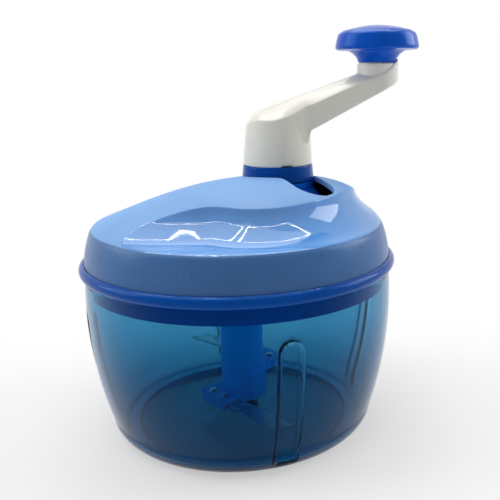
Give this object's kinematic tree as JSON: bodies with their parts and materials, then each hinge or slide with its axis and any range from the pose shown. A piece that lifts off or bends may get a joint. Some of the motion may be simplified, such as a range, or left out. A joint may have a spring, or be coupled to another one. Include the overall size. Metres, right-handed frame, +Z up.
{
  "type": "crank food chopper",
  "caption": "Hand-cranked food chopper: a translucent bowl with a turning blade unit, and a geared lid with a pouring opening, a crank and a turning knob.",
  "frame": {"origin": "the bowl's axis on the plane that the bowl stands on", "axes": "+Z up along the bowl's axis, +X towards the crank's axis and along the crank arm at rest"},
  "size_m": [0.1907, 0.176, 0.2236],
  "materials": {
    "bowl_plastic": "translucent, moulded",
    "blade_unit_plastic": "satin, moulded",
    "blade_steel": "ground",
    "pin_steel": "turned",
    "screw_steel": "plated",
    "seal_rubber": "matte",
    "lid_base_plastic": "glossy, moulded",
    "cover_plastic": "glossy with a matte crown",
    "shroud_plastic": "satin, moulded",
    "gear_plastic": "plain, moulded",
    "bush_plastic": "plain, moulded",
    "crank_plastic": "satin, moulded",
    "knob_plastic": "satin, moulded"
  },
  "bodies": {
    "bowl": {"bowl": "bowl_plastic", "centre_pin": "pin_steel"},
    "blade_unit": {"blade_column": "blade_unit_plastic", "lower_blade": "blade_steel", "upper_blade": "blade_steel", "blade_rivets": "pin_steel"},
    "lid": {"lid_base": "lid_base_plastic", "rim_seal": "seal_rubber", "cover_screws": "screw_steel", "shroud_screws": "screw_steel", "spindle_bush": "bush_plastic", "gear_shroud": "shroud_plastic", "pour_funnel": "shroud_plastic", "top_cover": "cover_plastic"},
    "spindle": {"drive_spindle": "pin_steel", "spindle_clip": "pin_steel", "centre_pinion": "gear_plastic"},
    "crank": {"ring_gear": "gear_plastic", "thrust_washer": "bush_plastic", "crank_collar": "lid_base_plastic", "crank_arm": "crank_plastic", "crank_washer": "screw_steel", "crank_screw": "screw_steel", "knob_pin": "pin_steel", "knob_washer": "screw_steel"},
    "knob": {"knob": "knob_plastic", "knob_cap": "knob_plastic"}
  },
  "joints": [
    {"name": "lid_lift", "type": "slide", "parent": "bowl", "child": "lid", "axis": [0, 0, 1], "range_m": [0, 0.12]},
    {"name": "crank_turn", "type": "hinge", "parent": "lid", "child": "crank", "pos_m": [0.0231, 0, 0.13], "axis": [0, 0, 1], "continuous": true},
    {"name": "knob_spin", "type": "hinge", "parent": "crank", "child": "knob", "pos_m": [0.0795, 0, 0.21], "axis": [0, 0, 1], "continuous": true},
    {"name": "spindle_turn", "type": "hinge", "parent": "lid", "child": "spindle", "pos_m": [0, 0, 0.09], "axis": [0, 0, 1], "continuous": true},
    {"name": "blade_spin", "type": "hinge", "parent": "bowl", "child": "blade_unit", "pos_m": [0, 0, 0.02], "axis": [0, 0, 1], "continuous": true}
  ],
  "couplings": [
    {"joint": "spindle_turn", "follows": "crank_turn", "ratio": 3.75},
    {"joint": "blade_spin", "follows": "crank_turn", "ratio": 3.75}
  ]
}
